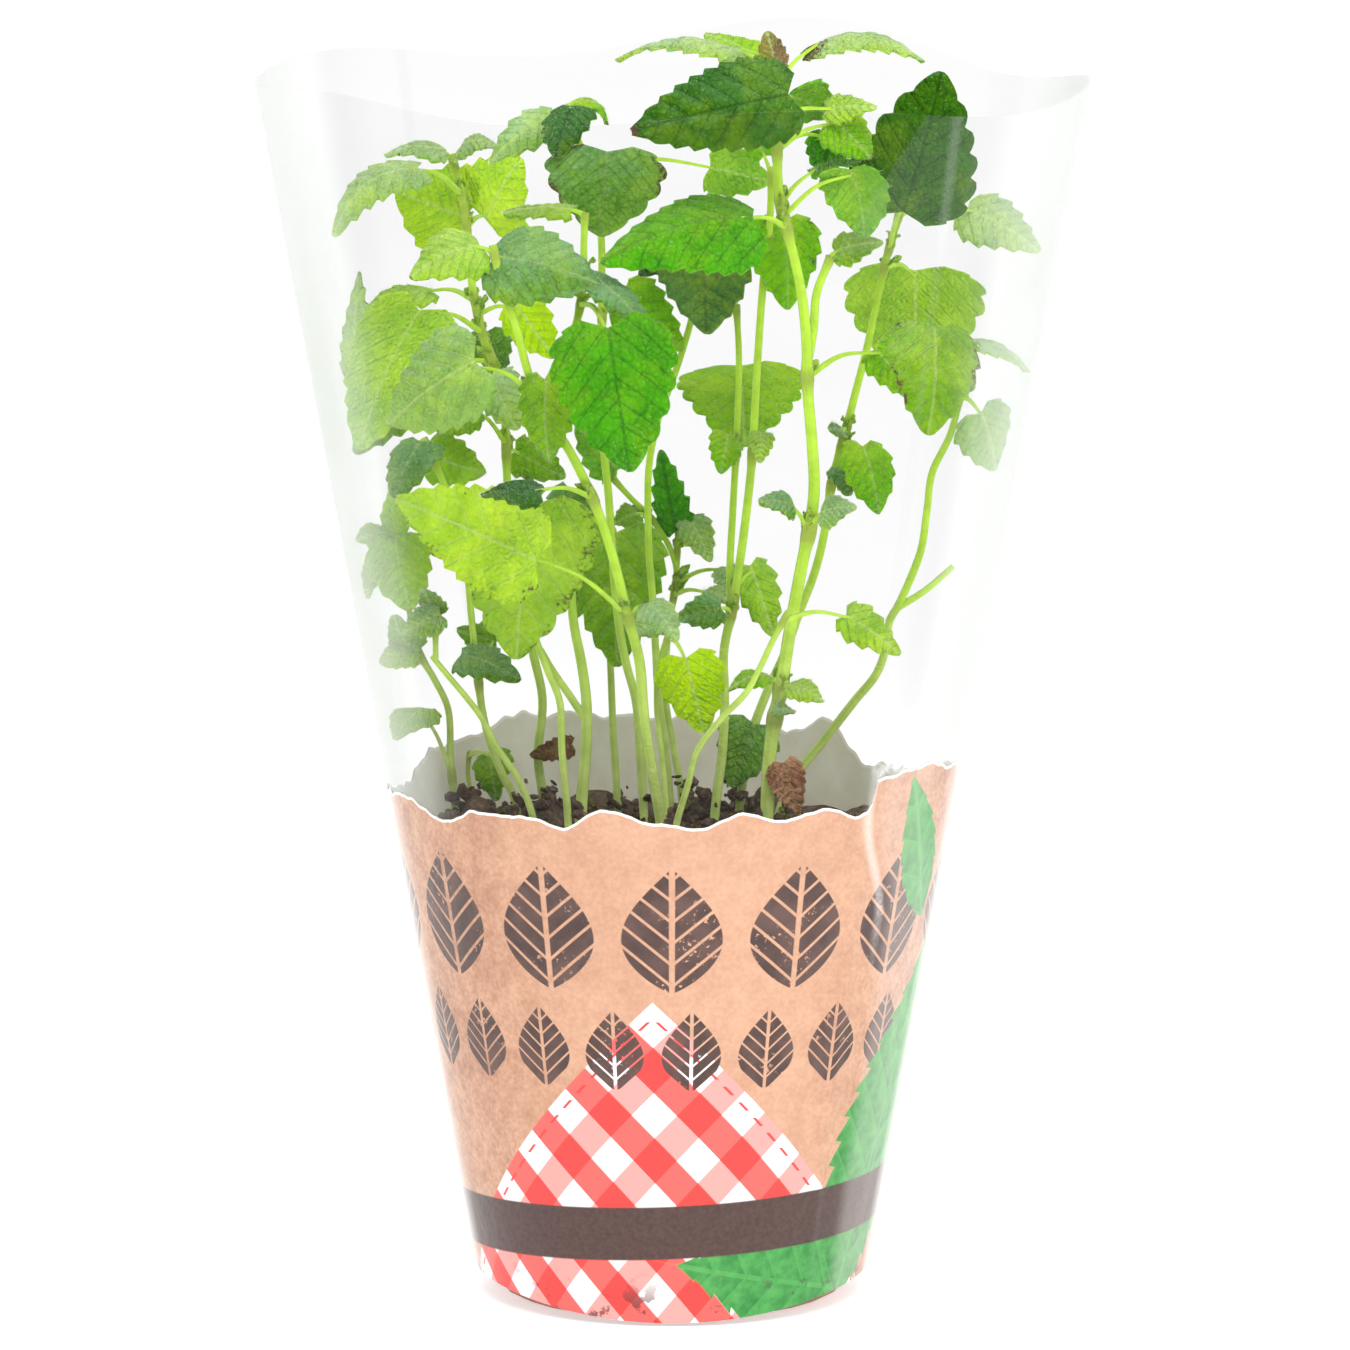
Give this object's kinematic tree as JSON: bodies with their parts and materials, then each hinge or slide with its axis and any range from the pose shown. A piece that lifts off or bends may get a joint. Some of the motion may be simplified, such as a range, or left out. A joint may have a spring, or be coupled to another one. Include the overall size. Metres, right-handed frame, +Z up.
{
  "type": "potted lemon balm in a sleeve",
  "caption": "Leggy lemon balm herb in a round growing pot, standing inside a tapered clear film sleeve with a printed kraft-look lower part and a waved top edge.",
  "frame": {"origin": "centre of the growing pot's flat base, which the object stands on", "axes": "+Z up out of the pot, +X to the right of the printed front, -Y towards the viewer in front"},
  "size_m": [0.1809, 0.1811, 0.2801],
  "materials": {
    "pot_plastic": "satin",
    "peat": "rough",
    "sleeve_film": "clear and printed film",
    "foliage": "soft, slightly hairy",
    "dried_foliage": "dry"
  },
  "bodies": {
    "root": {"pot": "pot_plastic", "soil": "peat", "sleeve": "sleeve_film", "stem_front_left": "foliage", "stem_left_tall": "foliage", "stem_centre_tall": "foliage", "stem_centre_back": "foliage", "stem_centre_fork": "foliage", "stem_pair_centre": "foliage", "stem_right_main": "foliage", "stem_right_back": "foliage", "stem_far_right": "foliage", "stem_low_right": "foliage", "stem_low_centre": "foliage", "stem_mid_left": "foliage", "stem_backlit": "foliage", "stem_centre_left": "foliage", "stem_left_low": "foliage", "stem_left_thin": "foliage", "stem_left_mid": "foliage", "stem_low_leaf": "foliage", "dried_leaf_left": "dried_foliage", "dried_leaf_right": "dried_foliage"}
  },
  "joints": []
}
